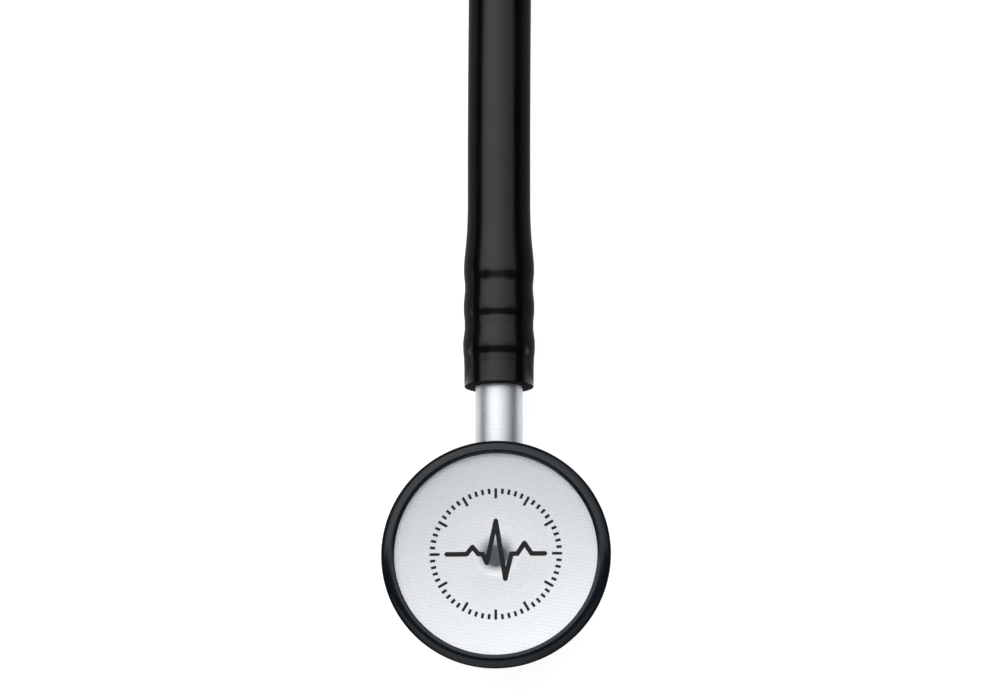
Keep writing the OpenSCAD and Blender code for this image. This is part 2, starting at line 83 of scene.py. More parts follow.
def putMesh(name, points, faces, material, uv=None, sharp=38):
    # points (n, 3) in metres, faces (m, 4); seams and poles are merged, normals turned outwards
    mesh = bpy.data.meshes.new(name)
    mesh.from_pydata(np.asarray(points).tolist(), [], np.asarray(faces).tolist())
    if uv is not None:
        corner = np.empty(len(mesh.loops), int)
        mesh.loops.foreach_get("vertex_index", corner)
        layer = mesh.uv_layers.new(name="surface")
        layer.data.foreach_set("uv", np.asarray(uv, np.float32)[corner].ravel())
    shape = bmesh.new()
    shape.from_mesh(mesh)
    bmesh.ops.remove_doubles(shape, verts=shape.verts, dist=1e-7)
    bmesh.ops.dissolve_degenerate(shape, edges=shape.edges, dist=1e-8)
    bmesh.ops.recalc_face_normals(shape, faces=shape.faces)
    shape.to_mesh(mesh)
    shape.free()
    mesh.shade_smooth()
    mesh.set_sharp_from_angle(angle=math.radians(sharp))
    mesh.materials.append(material)
    piece = bpy.data.objects.new(name, mesh)
    scene.collection.objects.link(piece)
    return piece


def gridFaces(rows, cols):  # quads of a grid of rows x cols points, row by row
    i, j = np.meshgrid(np.arange(rows - 1), np.arange(cols - 1), indexing="ij")
    a = (i * cols + j).ravel()
    return np.column_stack([a, a + 1, a + cols + 1, a + cols])


def revolve(profile, steps=160):
    # (radius, height) pairs turned round +Z: x = r cos t, y = r sin t, z = h
    profile = np.asarray(profile, float)
    turn = np.linspace(0, 2 * math.pi, steps + 1)
    radius, height = profile[:, :1], profile[:, 1:]
    points = np.stack([radius * np.cos(turn), radius * np.sin(turn),
                       np.broadcast_to(height, (len(profile), steps + 1))], axis=-1)
    run = np.concatenate([[0], np.cumsum(np.hypot(*np.diff(profile, axis=0).T))])
    uv = np.stack(np.broadcast_arrays(turn / (2 * math.pi), run[:, None]), axis=-1)
    return points.reshape(-1, 3), gridFaces(len(profile), steps + 1), uv.reshape(-1, 2)


def sweep(line, radii, sides=48):
    # a circle carried along a line that never runs straight up: point + r (side cos t + top sin t)
    line, radii = np.asarray(line, float), np.broadcast_to(radii, len(line))
    ahead = np.gradient(line, axis=0)
    ahead /= np.linalg.norm(ahead, axis=1, keepdims=True)
    side = np.cross(ahead, [0, 0, 1])
    side /= np.linalg.norm(side, axis=1, keepdims=True)
    top = np.cross(side, ahead)
    turn = np.linspace(0, 2 * math.pi, sides + 1)
    rim = (side[:, None] * np.cos(turn)[None, :, None] + top[:, None] * np.sin(turn)[None, :, None])
    points = line[:, None] + radii[:, None, None] * rim
    run = np.concatenate([[0], np.cumsum(np.linalg.norm(np.diff(line, axis=0), axis=1))])
    uv = np.stack(np.broadcast_arrays(turn / (2 * math.pi), run[:, None]), axis=-1)
    return points.reshape(-1, 3), gridFaces(len(line), sides + 1), uv.reshape(-1, 2)


def smoothLine(points, steps):  # Catmull-Rom curve through the points, equal steps in each span
    points = np.asarray(points, float)
    ends = np.vstack([points[:1], points, points[-1:]])
    p0, p1, p2, p3 = (ends[k:len(ends) - 3 + k, None] for k in range(4))
    t = (np.arange(steps) / steps)[None, :, None]
    curve = 0.5 * (2 * p1 + (p2 - p0) * t + (2 * p0 - 5 * p1 + 4 * p2 - p3) * t ** 2
                   + (3 * p1 - p0 - 3 * p2 + p3) * t ** 3)
    return np.vstack([curve.reshape(-1, 3), points[-1:]])


def arc(centre, radius, start, end, steps=12):  # points on an arc, in degrees
    a = np.radians(np.linspace(start, end, steps + 1))
    return np.column_stack([centre[0] + radius * np.cos(a), centre[1] + radius * np.sin(a)])


def ease(t):  # smooth step from 0 to 1
    t = np.clip(t, 0, 1)
    return t * t * (3 - 2 * t)


def boxOf(node):
    low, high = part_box(node)
    return np.array(low, float), np.array(high, float)


# camera: almost straight down on the diaphragm, with a long lens

cameraSet = {
    "aim": (0.74, 34.53, 21.0),   # mm, the point in the middle of the picture
    "elevation": 79.6,            # degrees above the table
    "sideways": 3.9,              # degrees towards +X
    "distance": 1600.0,           # mm
    "pixelsPerMm": 5.966,         # at the aim, in a picture 1000 pixels wide
}


def makeCamera(look):
    data = bpy.data.cameras.new("photoCamera")
    data.sensor_fit = "HORIZONTAL"
    data.sensor_width = 36
    data.lens = data.sensor_width * look["distance"] * look["pixelsPerMm"] / 1000
    data.clip_end = 50
    back = Vector((math.sin(math.radians(look["sideways"])), -math.cos(math.radians(look["elevation"])),
                   math.sin(math.radians(look["elevation"])))).normalized()
    right = Vector((0, 1, 0)).cross(back).normalized()
    up = back.cross(right)
    camera = bpy.data.objects.new("photoCamera", data)
    turn = Matrix((right, up, back)).transposed().to_4x4()
    camera.matrix_world = Matrix.Translation((Vector(look["aim"]) + back * look["distance"]) * mm) @ turn
    scene.collection.objects.link(camera)
    scene.camera = camera


makeCamera(cameraSet)
print("camera placed")


# materials, each named for what its pieces are made of; sizes of patterns are in mm

def objectPlace(tree):
    return addNode(tree, "ShaderNodeTexCoord").outputs["Object"]


def noise(tree, place, size, detail):
    return addNode(tree, "ShaderNodeTexNoise", {"Vector": place, "Scale": 1 / (size * mm),
                                                "Detail": detail}).outputs["Fac"]


def twoTone(tree, factor, *stops):  # from one (position, colour) to the other
    ramp = addNode(tree, "ShaderNodeValToRGB", {"Fac": factor})
    for element, (position, colour) in zip(ramp.color_ramp.elements, stops):
        element.position, element.color = position, linear(colour)
    return ramp.outputs["Color"]


def ranged(tree, value, low, high):
    return addNode(tree, "ShaderNodeMapRange", {"Value": value, "To Min": low, "To Max": high}).outputs["Result"]


def relief(tree, height, strength, depth):
    return addNode(tree, "ShaderNodeBump", {"Height": height, "Strength": strength,
                                            "Distance": depth * mm}).outputs["Normal"]


def scaled(tree, colour, factor):
    return addNode(tree, "ShaderNodeVectorMath", {0: colour, "Scale": factor}, operation="SCALE").outputs["Vector"]


def surface(tree, inputs):
    skin = addNode(tree, "ShaderNodeBsdfPrincipled", inputs)
    addNode(tree, "ShaderNodeOutputMaterial", {"Surface": skin.outputs["BSDF"]})


def glow(tree, inputs):
    light = addNode(tree, "ShaderNodeEmission", inputs)
    addNode(tree, "ShaderNodeOutputMaterial", {"Surface": light.outputs["Emission"]})


def pvcMaterial():
    # black tubing of plasticised PVC, extruded and moulded: a smooth satin skin with faint clouding
    material, tree = newMaterial("blackPvcTubing")
    place = objectPlace(tree)
    cloud = noise(tree, place, 18, 4.0)
    surface(tree, {"Base Color": twoTone(tree, cloud, (0.35, "#070606"), (0.7, "#0b0a0a")),
                   "Roughness": ranged(tree, cloud, 0.15, 0.2), "IOR": 1.352, "Specular Tint": linear("#fff8f5"),
                   "Normal": relief(tree, noise(tree, place, 0.6, 3.0), 0.12, 0.04)})
    return material


def cutMaterial():
    # end of the same PVC where a knife cut it: matt black with fine drag marks
    material, tree = newMaterial("knifeCutPvc")
    drag = noise(tree, objectPlace(tree), 0.3, 3.0)
    surface(tree, {"Base Color": twoTone(tree, drag, (0.3, "#161515"), (0.7, "#1e1d1d")),
                   "Roughness": 0.8, "Specular IOR Level": 0.05})
    return material


def rimMaterial():
    # moulded black elastomer of the rim and the bell's sleeve: blue-black, with a faint clouding
    material, tree = newMaterial("mouldedBlackElastomer")
    place = objectPlace(tree)
    cloud = noise(tree, place, 6, 5.0)
    surface(tree, {"Base Color": twoTone(tree, cloud, (0.3, "#0b1014"), (0.75, "#12191f")),
                   "Roughness": ranged(tree, cloud, 0.1, 0.16), "IOR": 1.33,
                   "Normal": relief(tree, noise(tree, place, 0.4, 3.0), 0.2, 0.04)})
    return material


def stemMaterial():
    # stainless steel bar, turned and tumbled: bright, with a fine grain that breaks up reflections and a slight
    # haze from handling, and painted shade on the spigot inside the hub, where its colour falls to 0.12
    material, tree = newMaterial("tumbledStainlessSteel")
    place = objectPlace(tree)
    grain = noise(tree, place, 0.35, 4.0)
    along = addNode(tree, "ShaderNodeSeparateXYZ", {"Vector": place}).outputs["Y"]
    # painted shade inside the hub: the colour is scaled down from 1 at 14 mm to 0.12 at 11 mm along Y
    paintedHubShade = addNode(tree, "ShaderNodeMapRange", {"Value": along, "From Min": 11 * mm, "From Max": 14 * mm,
                                                  "To Min": 0.12})
    colour = twoTone(tree, grain, (0.3, "#ced3d8"), (0.7, "#e0e5ea"))
    surface(tree, {"Base Color": scaled(tree, colour, paintedHubShade.outputs["Result"]), "Metallic": 0.85,
                   "Roughness": ranged(tree, grain, 0.34, 0.5), "Normal": relief(tree, grain, 0.45, 0.03)})
    return material


def turnedMaterial():
    # stainless steel turned on a lathe: fine rings round the chestpiece's axis, drawn 0.25 mm apart to show,
    # and painted shade of the drilled passage in the middle: the colour falls to 0.14 near the axis
    material, tree = newMaterial("turnedStainlessSteel")
    flat = addNode(tree, "ShaderNodeVectorMath", {0: objectPlace(tree), 1: (1.0, 1.0, 0.0)}, operation="MULTIPLY")
    radius = addNode(tree, "ShaderNodeVectorMath", {0: flat.outputs["Vector"]}, operation="LENGTH").outputs["Value"]
    rings = addNode(tree, "ShaderNodeTexNoise", {"W": radius, "Scale": 1 / (0.25 * mm), "Detail": 2.0},
                    noise_dimensions="1D").outputs["Fac"]
    # painted shade of the drilled passage: the colour is scaled from 0.14 at 1.1 mm to 1 at 3.6 mm from the axis
    depth = addNode(tree, "ShaderNodeMapRange", {"Value": radius, "From Min": 1.1 * mm, "From Max": 3.6 * mm,
                                                 "To Min": 0.14}, interpolation_type="SMOOTHSTEP")
    colour = twoTone(tree, rings, (0.2, "#f2f3f4"), (0.8, "#fbfbfa"))
    surface(tree, {"Base Color": scaled(tree, colour, depth.outputs["Result"]), "Metallic": 1.0, "Roughness": 0.48,
                   "Normal": relief(tree, rings, 0.2, 0.04)})
    return material


def diaphragmMaterial():
    # thin epoxy sheet filled with glass cloth: clearer between the cloth's threads, which are 0.6 mm apart and
    # turned a little out of line with the stem; the wave node has one band in 0.314 / scale
    material, tree = newMaterial("glassClothEpoxySheet")
    turned = addNode(tree, "ShaderNodeMapping", {"Vector": objectPlace(tree), "Rotation": (0.0, 0.0, math.radians(10))})
    threads = {"Vector": turned.outputs["Vector"], "Scale": 0.314 / (0.6 * mm), "Distortion": 0.8, "Detail": 1.0}
    warp = addNode(tree, "ShaderNodeTexWave", threads, bands_direction="X").outputs["Fac"]
    weft = addNode(tree, "ShaderNodeTexWave", threads, bands_direction="Y").outputs["Fac"]
    cloth = addNode(tree, "ShaderNodeMath", {0: weft, 1: 2.0, 2: warp}, operation="MULTIPLY_ADD").outputs["Value"]
    share = addNode(tree, "ShaderNodeMapRange", {"Value": cloth, "From Max": 3.0}).outputs["Result"]
    surface(tree, {"Base Color": twoTone(tree, share, (0.0, "#949eac"), (1.0, "#a4acb8")),
                   "Alpha": ranged(tree, share, 0.115, 0.155), "Roughness": 0.34, "IOR": 1.45,
                   "Normal": relief(tree, cloth, 0.06, 0.03)})
    return material


def inkMaterial():
    # black screen-printing ink: dead black, a little uneven in density
    material, tree = newMaterial("blackScreenInk")
    cloud = noise(tree, objectPlace(tree), 0.8, 3.0)
    surface(tree, {"Base Color": twoTone(tree, cloud, (0.3, "#060708"), (0.7, "#0b0c0e")),
                   "Roughness": 0.6, "IOR": 1.36})
    return material


def earTubeMaterial():
    # drawn aluminium tube, satin anodised: soft bright metal with faint lines along it, 90 round the tube and
    # 25 mm long
    material, tree = newMaterial("satinAnodisedAluminium")
    along = addNode(tree, "ShaderNodeUVMap", uv_map="surface").outputs["UV"]
    stretch = addNode(tree, "ShaderNodeMapping", {"Vector": along, "Scale": (90.0, 40.0, 1.0)})
    lines = addNode(tree, "ShaderNodeTexNoise", {"Vector": stretch.outputs["Vector"], "Scale": 1.0,
                                                 "Detail": 3.0}).outputs["Fac"]
    surface(tree, {"Base Color": twoTone(tree, lines, (0.3, "#c3c5c8"), (0.7, "#dadbdd")), "Metallic": 1.0,
                   "Roughness": ranged(tree, lines, 0.26, 0.4)})
    return material


def siliconeMaterial():
    # soft black silicone of the ear tips: dull, with a fine skin that holds a little dust
    material, tree = newMaterial("softBlackSilicone")
    place = objectPlace(tree)
    dust = noise(tree, place, 3, 6.0)
    surface(tree, {"Base Color": twoTone(tree, dust, (0.4, "#171717"), (0.8, "#252423")), "Roughness": 0.55,
                   "IOR": 1.43, "Normal": relief(tree, noise(tree, place, 0.5, 3.0), 0.2, 0.04)})
    return material


def nylonMaterial():
    # moulded nylon of the ear tips' inserts: dark grey, dull, with the mould's fine spark texture
    material, tree = newMaterial("mouldedGreyNylon")
    spark = noise(tree, objectPlace(tree), 0.4, 4.0)
    surface(tree, {"Base Color": twoTone(tree, spark, (0.3, "#4a4b4d"), (0.7, "#57585a")), "Roughness": 0.5,
                   "IOR": 1.53, "Normal": relief(tree, spark, 0.3, 0.04)})
    return material


blackPvc = pvcMaterial()
cutPvc = cutMaterial()
blackElastomer = rimMaterial()
stemSteel = stemMaterial()
turnedSteel = turnedMaterial()
epoxySheet = diaphragmMaterial()
screenInk = inkMaterial()
anodised = earTubeMaterial()
silicone = siliconeMaterial()
nylon = nylonMaterial()
print("materials made")


# tubing: the free run, folded once, on the route of its solid

tubingSet = {
    "diameter": 10.6,      # mm
    "straightOut": 6.0,    # mm, the first straight steps out of the stretched end
    "fold": 104.0,         # mm between the two legs
    "yokeY": 12.0,         # mm, where it meets the fork
    "low": 5.3,            # mm, its middle above the table
    "stepsPerSpan": 10,
}

endLow, endHigh = boxOf("tubing_end")
stemZ = (endLow[2] + endHigh[2]) / 2 / mm
tubeStart = endHigh[1] / mm
tubeEnd = endLow[1] / mm


def tubingRoute(size):  # points on the middle of the tubing, in mm
    fold, low, out = size["fold"], size["low"], size["straightOut"]
    return [(0, tubeStart, stemZ), (0, tubeStart + out, stemZ), (0, tubeStart + 2 * out, stemZ),
            (0, 86, 11.8), (0, 98, 10.4), (0, 110, 8.6), (0, 122, 6.9), (0, 133, 5.8), (0, 142, 5.4),
            (0, 150, low), (4, 170, low), (15, 187, low), (32, 198, low), (fold / 2, 202, low),
            (fold - 32, 198, low), (fold - 15, 187, low), (fold - 4, 170, low),
            (fold, 150, low), (fold, 128, low), (fold, 106, low), (fold, 84, low),
            (fold, 62, low), (fold, 40, low), (fold, 24, low), (fold, size["yokeY"], low)]


def makeTubing(size):
    line = smoothLine(np.array(tubingRoute(size)) * mm, size["stepsPerSpan"])
    radius = np.full(len(line), size["diameter"] / 2 * mm)
    closed = np.vstack([line[:1], line, line[-1:]])  # a flat face at each end
    closed[0, 1] -= 1e-9
    closed[-1, 1] -= 1e-9
    points, faces, uv = sweep(closed, np.concatenate([[0], radius, [0]]))
    tubing = putMesh("tubing_run", points, faces, blackPvc, uv)
    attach(tubing, "tubing_and_stem")
    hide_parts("tubing")


makeTubing(tubingSet)


# stretched end of the tubing over the stem's barbs

sleeveSet = {
    "outline": [(-1, 5.83), (2.0, 5.84), (3.6, 5.855), (5.2, 5.905), (6.2, 6.02), (6.8, 6.045), (7.6, 6.05),
                (8.2, 6.015), (10.1, 5.775), (11.6, 5.8), (12.7, 5.917), (13.4, 5.943), (14.3, 5.945), (14.8, 5.915),
                (16.7, 5.735), (17.55, 5.735), (18.05, 5.77), (19.15, 5.885), (19.8, 5.92), (21.0, 5.915), (22.0, 5.85),
                (25.0, 5.56), (26.6, 5.43), (28.6, 5.34), (30.4, 5.3),
                (33.0, 5.3)],  # mm from the end and radius: three ribs, steepest just before the crest, then the taper
    "soften": 0.8,       # mm over which corners of the outline are rounded
    "bore": 4.05,
    "endBack": 0.1,      # mm that the end stands back from its solid
    "endRound": 0.25,
    "cutShare": 0.6,     # of the rounding that shows the knife's cut
}


def makeSleeve(size):
    # radius(s) = outline by straight pieces, averaged over a short run, less a quarter circle at the end
    length = tubeStart - tubeEnd
    s = np.linspace(size["endBack"], length, 420)
    outline = np.array(size["outline"])
    reach = np.linspace(-0.5, 0.5, 41) * size["soften"]
    weight = 1 + np.cos(2 * np.pi * reach / size["soften"])
    near = np.interp(s[:, None] + reach, outline[:, 0], outline[:, 1])
    corner = np.clip(size["endRound"] - (s - s[0]), 0, None)
    edge = size["endRound"] - np.sqrt(size["endRound"] ** 2 - corner ** 2)
    outside = np.column_stack([near @ weight / weight.sum() - edge, s])
    bore = size["bore"]
    inside = np.array([(bore * 0.6, length), (bore * 0.6, length - 2), (bore, length - 8), (bore, s[0] + 0.25),
                       (bore + 0.25, s[0])])
    points, faces, uv = revolve(np.vstack([outside, inside, outside[:1]]) * mm, 96)
    points = np.column_stack([points[:, 0], points[:, 2] + tubeEnd * mm, stemZ * mm - points[:, 1]])
    sleeve = putMesh("ribbed_tubing_end", points, faces, blackPvc, uv)
    sleeve.data.materials.append(cutPvc)
    middle = np.empty(3 * len(sleeve.data.polygons))
    sleeve.data.polygons.foreach_get("center", middle)
    cut = middle[1::3] < (tubeEnd + s[0] + size["cutShare"] * size["endRound"]) * mm
    sleeve.data.polygons.foreach_set("material_index", cut.astype(int))
    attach(sleeve, "tubing_and_stem")
    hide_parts("tubing_end")
    print("ribbed end made")


makeSleeve(sleeveSet)


# rim and diaphragm

rimSet = {
    "width": 2.23,     # mm, seen from above
    "crest": 0.68,     # mm from the inner edge to the crest
    "height": 0.35,    # mm of the crest above the sheet
    "flank": [(0, 0), (0.1, 0.004), (0.28, 0.02), (0.5, 0.05), (0.65, 0.09), (0.8, 0.145), (1.0, 0.24),
              (1.2, 0.36), (1.38, 0.49), (1.5, 0.61), (1.55, 0.74)],  # mm out from the crest and down
    "bulge": 0.4,      # mm that the bead stands out past the skirt
    "edge": 0.6,       # mm rounding of the skirt's foot
    "rise": 0.35,      # share of the crest's height that is upright at the inner wall
    "under": 1.3,      # mm, height of the bead's underside
    "hook": (1.2, 0.95),  # mm that the hook reaches in under the sheet, and its height
    "play": 0.06,      # mm round the sheet
    "seat": 0.03,      # mm above the sheet
}

sheetLow, sheetHigh = boxOf("diaphragm")
sheetTop = sheetHigh[2] / mm
sheetRadius = (sheetHigh[0] - sheetLow[0]) / 2 / mm
rimLow, rimHigh = boxOf("diaphragm_rim")
rimRadius = (rimHigh[0] - rimLow[0]) / 2 / mm


def quarter(centre, across, up, start, end, steps=14):  # points on a quarter of an ellipse, in degrees
    a = np.radians(np.linspace(start, end, steps + 1))
    return np.column_stack([centre[0] + across * np.cos(a), centre[1] + up * np.sin(a)])


def makeRim(size):
    # closed outline: rounded inner wall, crest, outer flank, underside of the bead, skirt, hook
    sight, base = rimRadius - size["width"], sheetTop + size["seat"]
    flank = smoothLine(np.insert(size["flank"], 2, 0, axis=1), 6)[:, :2]
    crest, bottom = sight + size["crest"], rimLow[2] / mm
    wide = base + size["height"] - flank[-1, 1]
    skirt = rimRadius - size["bulge"]
    rise = size["rise"]
    inner = quarter((crest, base + size["height"] * rise), size["crest"], size["height"] * (1 - rise), 180, 90)
    outer = np.column_stack([crest + flank[:, 0], base + size["height"] - flank[:, 1]])[1:]
    under = quarter((skirt, wide), size["bulge"], size["under"], 0, -90)[1:]
    foot = arc((skirt - size["edge"], bottom + size["edge"]), size["edge"], 0, -90, 10)
    tip, ledge, wall = sheetRadius - size["hook"][0], bottom + size["hook"][1], sheetRadius + size["play"]
    hook = [(tip, bottom), (tip, ledge), (wall, ledge), (wall, base), (sight, base)]
    points, faces, uv = revolve(np.vstack([[(sight, base)], inner, outer, under, foot, hook]) * mm, 256)
    rim = putMesh("rim", points, faces, blackElastomer, uv)
    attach(rim, "chestpiece")
    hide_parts("diaphragm_rim")
    print("rim made")


sheetSet = {
    "bevel": 0.05,     # mm at its edge
    "rings": 24,
}


def makeSheet(size):
    # flat disc with a bevelled edge: rings of points from the middle out
    low, top, edge, bevel = sheetLow[2] / mm, sheetTop, sheetRadius, size["bevel"]
    across = np.linspace(0, edge - bevel, size["rings"])
    profile = np.vstack([np.insert(across[:, None], 1, top, axis=1), [(edge, top - bevel), (edge, low + bevel)],
                         np.insert(across[::-1, None], 1, low, axis=1)])
    points, faces, uv = revolve(profile * mm, 160)
    sheet = putMesh("diaphragm_sheet", points, faces, epoxySheet, uv)
    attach(sheet, "chestpiece")
    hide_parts("diaphragm")
    print("diaphragm made")


printSet = {
    "lift": 0.01,          # mm above the sheet
    "thickness": 0.02,
    "stagger": 0.002,      # mm between neighbouring strokes
    "ticks": 60,           # a plain dial, every fifth tick longer
    "tickOuter": 11.1,     # mm from the middle
    "tickLength": 0.9,
    "longTick": 1.7,
    "tickWidth": 0.46,
    "stroke": 0.8,         # mm, of the pulse trace
    "trace": [(-8.2, 0), (-4.9, 0), (-3.9, 1.2), (-2.9, 0), (-2.2, 0), (-1.5, -1.5), (0.0, 5.6), (1.6, -4.2),
              (2.6, 0), (3.6, 0), (4.8, 1.8), (6.0, 0), (8.2, 0)],
}


def bars(start, end, width, low, high):
    # straight bars as closed boxes: both ends shifted half the width to each side, at two heights
    ahead = (end - start) / np.linalg.norm(end - start, axis=1, keepdims=True)
    side = np.column_stack([-ahead[:, 1], ahead[:, 0]]) * width / 2
    corners = np.stack([start - side, end - side, end + side, start + side], axis=1)
    levels = [np.concatenate([corners, np.broadcast_to(np.reshape(z, (-1, 1, 1)), (len(start), 4, 1))], axis=2)
              for z in (low, high)]
    box = np.array([[3, 2, 1, 0], [4, 5, 6, 7], [0, 1, 5, 4], [1, 2, 6, 5], [2, 3, 7, 6], [3, 0, 4, 7]])
    faces = (box[None] + 8 * np.arange(len(start))[:, None, None]).reshape(-1, 4)
    return np.concatenate(levels, axis=1).reshape(-1, 3), faces


def makePrint(size):
    # a plain dial of radial ticks, and a pulse trace of straight strokes with round joints;
    # strokes and joints differ a little in height, so that none lies in another's face
    low = sheetTop + size["lift"]
    high = low + size["thickness"]
    n = np.arange(size["ticks"])
    a = n * 2 * math.pi / size["ticks"]
    outer = np.column_stack([np.cos(a), np.sin(a)]) * size["tickOuter"]
    reach = np.where(n % 5 == 0, size["longTick"], size["tickLength"])
    pieces = [bars(outer * (1 - reach / size["tickOuter"])[:, None], outer, size["tickWidth"], low, high)]
    trace = np.array(size["trace"], float)
    step = size["stagger"] * (1 + np.arange(len(trace) - 1) % 2)
    pieces.append(bars(trace[:-1], trace[1:], size["stroke"], low, high + step))
    dot, dotFaces, uv = revolve([(0, high), (size["stroke"] / 2, high), (size["stroke"] / 2, low), (0, low)], 24)
    dots = (dot[None] + np.column_stack([trace, np.zeros(len(trace))])[:, None]).reshape(-1, 3)
    pieces.append((dots, (dotFaces[None] + len(dot) * np.arange(len(trace))[:, None, None]).reshape(-1, 4)))
    start = np.cumsum([0] + [len(points) for points, faces in pieces[:-1]])
    points = np.vstack([points for points, faces in pieces])
    faces = np.vstack([faces + first for (_, faces), first in zip(pieces, start)])
    ink = putMesh("diaphragm_print", points * mm, faces, screenInk)
    ink.visible_glossy = ink.visible_shadow = False  # so that the metal below shows no second print
    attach(ink, "chestpiece")
    print("print made")


makeRim(rimSet)
makeSheet(sheetSet)
makePrint(printSet)


bellSet = {
    "wall": 1.3,       # mm outside the bell
    "lip": 0.9,        # mm under the bell's mouth
    "lipWidth": 1.5,
    "edge": 0.6,       # mm rounding
    "barrel": 0.08,    # mm that the wall bulges
    "bevel": 0.3,      # mm inside the mouth
    "seat": 0.03,      # mm between the lip and the bell
}

bellLow, bellHigh = boxOf("bell_sleeve")


def makeBellSleeve(size):
    # closed outline: lip under the mouth, rounded foot, slightly barrelled wall, rounded top
    outer, top = (bellHigh[0] - bellLow[0]) / 2 / mm, bellHigh[2] / mm
    inner, edge = outer - size["wall"], size["edge"]
    mouth = inner - size["lipWidth"]
    barrel, bevel, ledge = size["barrel"], size["bevel"], size["lip"] - size["seat"]
    foot = arc((outer - barrel - edge, edge), edge, -90, 0, 10)
    t = np.linspace(0, 1, 9)[1:-1]
    wall = np.column_stack([outer - barrel * (2 * t - 1) ** 2, edge + (top - 2 * edge) * t])
    brim = arc((outer - barrel - edge, top - edge), edge, 0, 90, 10)
    back = [(inner, top), (inner, ledge), (mouth, ledge), (mouth, bevel)]
    points, faces, uv = revolve(np.vstack([[(mouth, bevel), (mouth + bevel, 0)], foot, wall, brim, back]) * mm, 200)
    sleeve = putMesh("bell_edge_sleeve", points, faces, blackElastomer, uv)
    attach(sleeve, "chestpiece")
    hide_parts("bell_sleeve")
    print("bell sleeve made")


makeBellSleeve(bellSet)


# chestpiece body, stem and the pieces inside keep the shapes of their solids

def dress(node, material):
    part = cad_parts[node]
    part.data.materials.clear()
    part.data.materials.append(material)


for name, material in {
    "chestpiece_body": turnedSteel, "detent_plug": turnedSteel, "detent_ball": stemSteel,
    "stem": stemSteel, "stem_retaining_ring": stemSteel,
    "stem_seal_inner": blackElastomer, "stem_seal_outer": blackElastomer,
    "left_tip_insert": nylon, "right_tip_insert": nylon,
}.items():
    dress(name, material)
print("solids dressed")


# spring of the click stop; the real one shortens as its ball is pushed in, here it is a fixed coil

coilSet = {
    "wire": 0.26,   # mm
    "turns": 3,
}


def makeCoil(size):
    # wire round a helix along +X: helix point + r (outwards cos t + along sin t)
    low, high = boxOf("detent_spring")
    middle, r = (low + high) / 2, size["wire"] / 2 * mm
    a = np.linspace(0, 2 * math.pi * size["turns"], 40 * size["turns"] + 1)
    out = np.column_stack([np.zeros(len(a)), np.cos(a), np.sin(a)])
    helix = middle + out * ((high[2] - low[2]) / 2 - r)
    helix[:, 0] = np.linspace(low[0] + r, high[0] - r, len(a))
    t = np.linspace(0, 2 * math.pi, 13)[None, :, None]
    wire = helix[:, None] + r * (out[:, None] * np.cos(t) + np.array([1.0, 0, 0]) * np.sin(t))
    ends = np.broadcast_to(helix[[0, -1], None], (2, 13, 3))
    wire = np.concatenate([ends[:1], wire, ends[1:]])
    coil = putMesh("click_stop_coil", wire.reshape(-1, 3), gridFaces(len(wire), 13), stemSteel)
    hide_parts("detent_spring")
    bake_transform(coil)
    print("coil made")


makeCoil(coilSet)


# headset: fork, soft arms, ear tubes and tips, in a frame that runs along +v from the tubing's end

headsetSet = {  # lengths in mm, angles in degrees
    "forkLength": 30.0,
    "forkHalf": 8.5,
    "forkAngle": 34.0,
    "forkStraight": 16.0,  # mm along which each limb leaves the tubing's line
    "forkRun": 9.0,        # mm along which it runs into the arm
    "forkWeb": 7.0,        # mm over which the limbs melt into each other
    "forkRamp": (10, 14),  # mm from the tubing where the melting starts, and over which it grows
    "forkVoxel": 0.4,
    "forkSoften": (12, 6),  # smoothing steps after each remesh
    "forkEnd": (8, 0.25, 0.5),  # mm round each end face, depth that isn't drawn, and depth over which drawing sets in
    "armD": 9.4,
    "armRoot": 6.0,
    "armBendR": 95.0,
    "armBend": 25.0,
    "armEnd": 30.0,
    "earD": 5.8,
    "insert": 16.0,
    "straight": 76.0,
    "bendR": 50.0,
    "bend": 52.0,
    "forward": 15.0,
    "top": 12.0,
    "springT": 0.8,
    "springW": 4.0,
    "springInset": 3.49,   # mm from the arm's middle to the leaf spring in its inner wall
    "springTurn": 3.0,     # mm, radius of the turn between its legs
    "springBend": 12.0,    # degrees of the arm's bend that each leg follows
    "tipD": 12.4,
    "tipBase": 8.0,
    "tipLength": 16.0,
    "tipHole": 2.8,
    "tipCrown": 1.0,       # widest place, past the ear tube's end
    "tipWall": 2.1,        # at its base
    "tipMouth": 0.6,       # rounding of the hole
    "tipSocket": (0.95, 1.2),  # room for the insert round the ear tube, and past its end
    "armLip": (1.0, 0.9),  # length and depth of the arm's rounded rim
}


def walk(legs, at, inward, ahead, step=1.5):
    # points along straights (length,) and bends (radius, angle, roll), with the frame at the end
    points = [np.array([at])]
    for leg in legs:
        if len(leg) == 1:
            t = np.linspace(0, leg[0], max(2, int(leg[0] / step)) + 1)[1:, None]
            points.append(at + t * ahead)
            at = points[-1][-1]
        else:
            radius, turn, roll = leg[0], math.radians(leg[1]), math.radians(leg[2])
            to = math.cos(roll) * inward + math.sin(roll) * np.cross(ahead, inward)
            centre = at + radius * to
            a = np.linspace(0, turn, max(8, int(radius * turn / step)) + 1)[1:, None]
            points.append(centre + radius * (np.sin(a) * ahead - np.cos(a) * to))
            at = points[-1][-1]
            inward, ahead = (math.cos(turn) * to - math.sin(turn) * ahead,
                             math.sin(turn) * to + math.cos(turn) * ahead)
    return np.vstack(points), at, inward, ahead


def toRow(points, side):  # from the headset's own frame in mm to metres in the row's frame
    u, v, z = np.asarray(points, float).T
    return np.column_stack([tubingSet["fold"] - side * u, tubingSet["yokeY"] - v, tubingSet["low"] + z]) * mm


def closeEnds(line, radius):  # a flat face at each end of a rod
    ahead = np.array([line[1] - line[0], line[-1] - line[-2]])
    ahead /= np.linalg.norm(ahead, axis=1, keepdims=True)
    closed = np.vstack([line[:1] - ahead[:1] * 1e-9, line, line[-1:] + ahead[1:] * 1e-9])
    return closed, np.concatenate([[0], np.broadcast_to(radius, len(line)), [0]])


